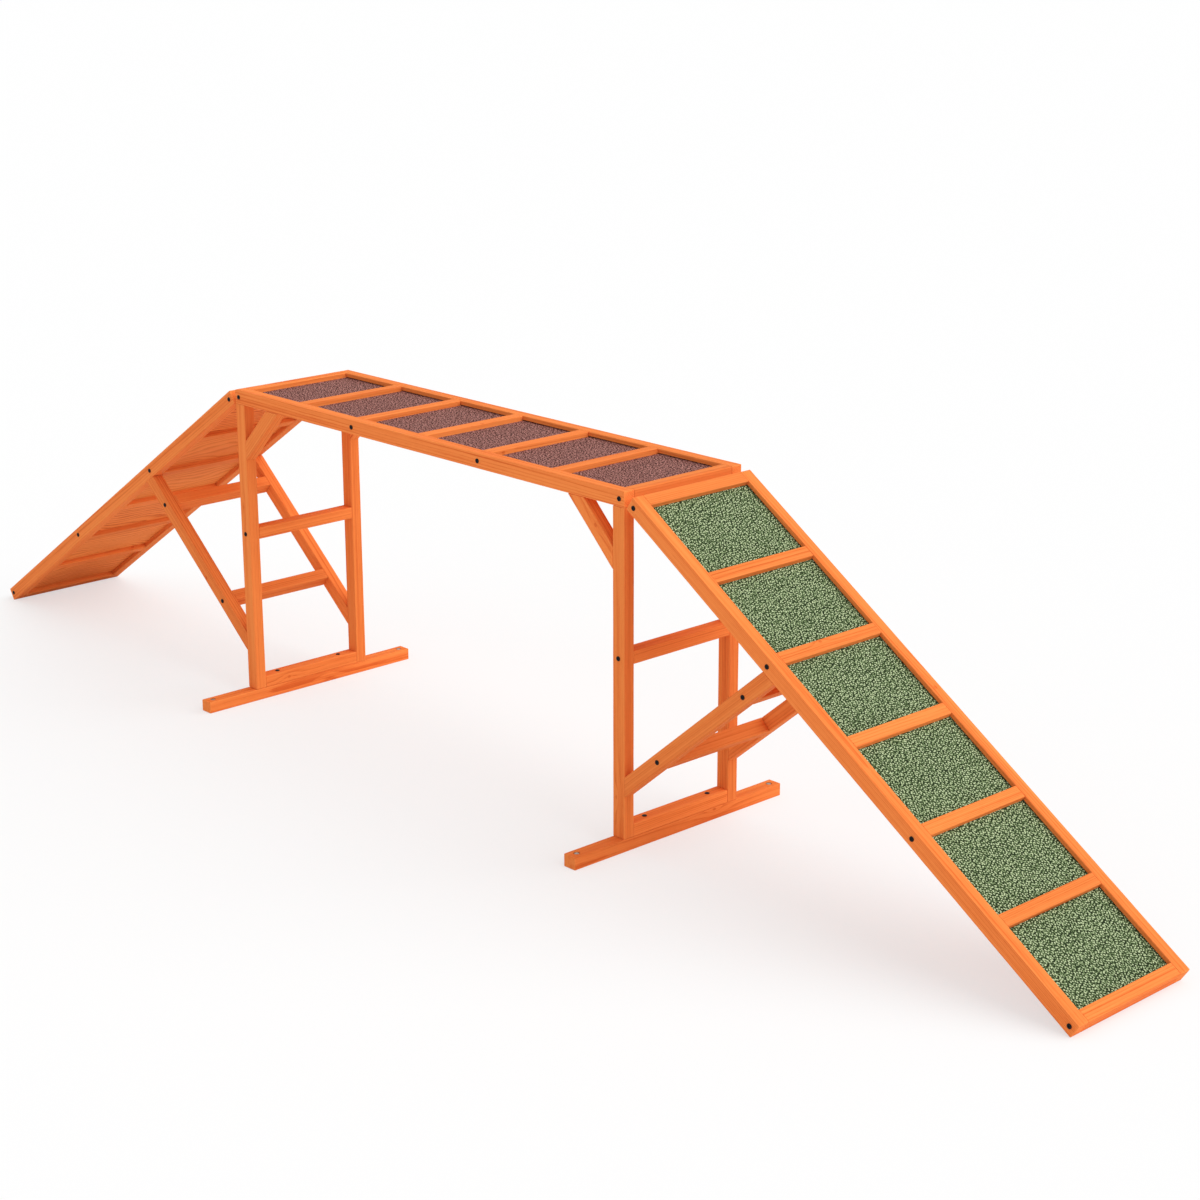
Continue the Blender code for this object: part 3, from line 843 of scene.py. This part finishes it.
def add_turned(shape, place, profile, shank_end, cap=math.inf):
    """A turned and pressed part with its seat at the origin of place, its head along +Z."""
    rings = []
    for form, radius, height in profile:
        ring = []
        for point in range(RING_POINTS):
            angle = 2 * math.pi * point / RING_POINTS
            reach = ring_radius(form, radius, angle, cap)
            spot = Vector((reach * math.cos(angle), reach * math.sin(angle), height))
            ring.append(shape.verts.new(place @ spot))
        rings.append(ring)
    skin(shape, rings)
    low = shape.verts.new(place @ Vector((0, 0, shank_end)))
    high = shape.verts.new(place @ Vector((0, 0, profile[-1][2])))
    for at in range(RING_POINTS):
        after = (at + 1) % RING_POINTS
        shape.faces.new((rings[0][after], rings[0][at], low))
        shape.faces.new((rings[-1][at], rings[-1][after], high))


BLACK_SHADES = (
    (0.0, (0.002, 0.002, 0.002)),
    (0.6, (0.005, 0.005, 0.006)),
    (1.0, (0.020, 0.021, 0.024)),
)


def black_finish():
    """Black coating on steel: semi-matt, clouded and finely speckled."""
    finish, tree = new_finish("black_coat")
    spot = attribute(tree, "spot")
    speck = noise(tree, spot, (2600.0, 2600.0, 2600.0), 3.0)
    cloud = noise(tree, spot, (240.0, 240.0, 240.0))
    shade = summed(tree, 0.45, (speck, 0.7), (cloud, 1.2))
    colour = ramp_of(tree, shade, BLACK_SHADES)
    rough = summed(tree, 0.50, (cloud, 0.35), (speck, 0.15))
    lay_on(tree, colour, rough, speck, 0.25, 0.0001, Specular_IOR_Level=0.14)
    return finish


black_coat = black_finish()


def bolt_set(name, places, finish, nodes=(), form=(HEAD_PROFILE, -BOLT_LENGTH)):
    """The like bolts of one member as one piece; nodes are those that it stands for."""
    shape = bmesh.new()
    for place in places:
        add_turned(shape, place, *form)
    bmesh.ops.recalc_face_normals(shape, faces=shape.faces)
    mesh = mesh_of(shape, name)
    spots = np.array([vertex.co for vertex in mesh.vertices])
    write_attribute(mesh, "spot", "FLOAT_VECTOR", "POINT", spots)
    piece = show(name, mesh, Matrix.Identity(4), [finish], "")
    if nodes:
        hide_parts(*nodes)
    soften(piece, 40)


def facing_out(x, flank, z, turn=0.0):
    """A bolt's place on the outer face of a near or far timber, its key turned by turn."""
    out = Matrix.Rotation(-flank * math.pi / 2, 4, "X")
    spin = Matrix.Rotation(turn, 4, "Z")
    return Matrix.Translation((x, flank * (WALK_WIDTH / 2 + UNDER_HEAD), z)) @ out @ spin


turns = random.Random("keys")
for section, (length, place, outward) in walkway.items():
    for flank_name, flank in FLANKS.items():
        places = []
        for number in BOLTED_SLATS:
            spot = place @ Vector((slat_positions(length)[number], 0, 0))
            places.append(facing_out(spot.x, flank, spot.z, turns.uniform(0, 1)))
        bolt_set(f"{section}_rail_bolts_{flank_name}", places, black_coat)

for side_name, side in SIDES.items():
    for flank_name, flank in FLANKS.items():
        places = []
        for distance in TIE_DISTANCES.values():
            x = side * (BRIDGE_LENGTH / 2 + distance * math.cos(STRUT_SLOPE))
            z = STRUT_FOOT_HEIGHT + distance * math.sin(STRUT_SLOPE)
            places.append(facing_out(x, flank, z, turns.uniform(0, 1)))
        bolt_set(f"{side_name}_tie_bolts_{flank_name}", places, black_coat)
        place = facing_out(side * POST_X, flank, RUNG_HEIGHT, turns.uniform(0, 1))
        node = f"{side_name}_rung_bolt_{flank_name}"
        bolt_set(node + "_turned", [place], black_coat, [node])
    top_z = 2 * TIMBER_THIN + JOINT_GAP
    places = [
        Matrix.Translation((side * POST_X, end * BOTTOM_BOLT_Y, top_z)) for end in (-1, 1)
    ]
    bolt_set(f"{side_name}_bottom_rail_bolts", places, black_coat)


# Ground bolts
# Bright zinc-plated hexagon-head bolts that pin the foot rails to the ground.
# Each head sits in its sinking, with its top just below the timber.
HEX_FLATS = 0.0065
HEX_CORNERS = 1.09
GROUND_BOLT_TIP = -0.0313
HEX_PROFILE = (
    ("round", 0.00400, -0.0310),
    ("round", 0.00400, 0.0000),
    ("round", 0.00620, 0.0000),
    ("hexagon", 0.00620, 0.0003),
    ("hexagon", HEX_FLATS, 0.0006),
    ("hexagon", HEX_FLATS, 0.0044),
    ("hexagon", 0.00635, 0.0049),
    ("round", 0.00600, 0.0053),
    ("round", 0.00540, 0.0053),
    ("round", 0.00500, 0.0051),
)
GROUND_BOLT = (HEX_PROFILE, GROUND_BOLT_TIP, HEX_CORNERS)
ZINC_SHADES = ((0.0, (0.16, 0.13, 0.11)), (0.5, (0.34, 0.30, 0.26)), (1.0, (0.54, 0.51, 0.47)))


def zinc_finish():
    """Zinc plate: bright, faintly clouded and dulled by handling."""
    finish, tree = new_finish("zinc_plate")
    spot = attribute(tree, "spot")
    cloud = noise(tree, spot, (330.0, 330.0, 330.0), 3.0)
    speck = noise(tree, spot, (2400.0, 2400.0, 2400.0))
    shade = summed(tree, 0.5, (cloud, 1.3), (speck, 0.4))
    colour = ramp_of(tree, shade, ZINC_SHADES)
    lay_on(tree, colour, summed(tree, 0.40, (cloud, 0.5)), speck, 0.3, 0.0001, Metallic=1.0)
    return finish


zinc_plate = zinc_finish()
seat_z = TIMBER_THIN - SINKING_DEPTH + JOINT_GAP
for side_name, side in SIDES.items():
    for flank_name, flank in FLANKS.items():
        spin = Matrix.Rotation(turns.uniform(0, 1), 4, "Z")
        at = Matrix.Translation((side * POST_X, flank * GROUND_BOLT_Y, seat_z)) @ spin
        node = f"{side_name}_ground_bolt_{flank_name}"
        bolt_set(node + "_plated", [at], zinc_plate, [node], GROUND_BOLT)


# Floor, light and camera
# A plain white floor that keeps the walk's shadow but shows it lightened, and is clear from below;
# an even white surround; a broad soft light from high on the right and a weak low one in front.
FLOOR_HALF = 90.0
FLOOR_Z = -0.0002
FLOOR_WHITE = 0.90
SHADOW_LIFT = 0.60
SURROUND = 0.53
SOFT_LIGHTS = {
    "key_light": (2.28, (0.449, 0.281, 0.541), math.radians(70)),
    "fill_light": (0.51, (0.0, -0.966, 0.259), math.radians(90)),
}
CAMERA_SPOT = (5.4631, -4.5413, 2.6549)
CAMERA_YAW, CAMERA_PITCH, CAMERA_ROLL = map(math.radians, (47.184, 16.986, -0.176))
FILM_WIDTH, LENS, FARTHEST = 36.0, 73.056, 300.0


def seen_directly(tree):
    """1 where the camera sees a thing itself, in a reflection or through glass, and otherwise 0."""
    path = add_node(tree, "ShaderNodeLightPath").outputs
    seen = maths(tree, "MAXIMUM", path["Is Camera Ray"], path["Is Glossy Ray"])
    return maths(tree, "MAXIMUM", seen, path["Is Transmission Ray"])


shape = bmesh.new()
bmesh.ops.create_grid(shape, x_segments=1, y_segments=1, size=FLOOR_HALF)
floor = bpy.data.objects.new("floor", mesh_of(shape, "floor"))
floor.location = (0, 0, FLOOR_Z)
bpy.context.collection.objects.link(floor)
floor_paint, tree = new_finish("floor_paint")
shader = tree.nodes["Principled BSDF"]
shader.inputs["Base Color"].default_value = (FLOOR_WHITE, FLOOR_WHITE, FLOOR_WHITE, 1)
shader.inputs["Roughness"].default_value = 0.9
shader.inputs["Specular IOR Level"].default_value = 0.0
glow = add_node(tree, "ShaderNodeEmission", {"Color": (1, 1, 1, 1), "Strength": 1.0}).outputs[0]
lifted = maths(tree, "MULTIPLY", seen_directly(tree), SHADOW_LIFT)
lit = add_node(tree, "ShaderNodeMixShader", {0: lifted, 1: shader.outputs[0], 2: glow}).outputs[0]
below = add_node(tree, "ShaderNodeNewGeometry").outputs["Backfacing"]
clear = add_node(tree, "ShaderNodeBsdfTransparent").outputs[0]
either = add_node(tree, "ShaderNodeMixShader", {0: below, 1: lit, 2: clear})
tree.links.new(either.outputs[0], tree.nodes["Material Output"].inputs["Surface"])
floor.data.materials.append(floor_paint)

surround = bpy.data.worlds.new("surround")
bpy.context.scene.world = surround
surround.use_nodes = True
tree = surround.node_tree
strength = maths(tree, "MULTIPLY_ADD", seen_directly(tree), 1 - SURROUND, SURROUND)
tree.nodes["Background"].inputs["Color"].default_value = (1, 1, 1, 1)
tree.links.new(strength, tree.nodes["Background"].inputs["Strength"])

for name, (strength, comes_from, spread) in SOFT_LIGHTS.items():
    lamp = bpy.data.lights.new(name, "SUN")
    lamp.energy = strength
    lamp.angle = spread
    light = bpy.data.objects.new(name, lamp)
    light.rotation_euler = Vector(comes_from).to_track_quat("Z", "Y").to_euler()
    bpy.context.collection.objects.link(light)

camera = bpy.data.objects.new("camera", bpy.data.cameras.new("camera"))
camera.data.sensor_width = FILM_WIDTH
camera.data.lens = LENS
camera.data.clip_end = FARTHEST
aim = (
    Matrix.Rotation(CAMERA_YAW, 3, "Z")
    @ Matrix.Rotation(math.pi / 2 - CAMERA_PITCH, 3, "X")
    @ Matrix.Rotation(CAMERA_ROLL, 3, "Z")
)
camera.matrix_world = Matrix.Translation(CAMERA_SPOT) @ aim.to_4x4()
bpy.context.collection.objects.link(camera)
bpy.context.scene.camera = camera
bpy.context.scene.view_settings.view_transform = "Standard"
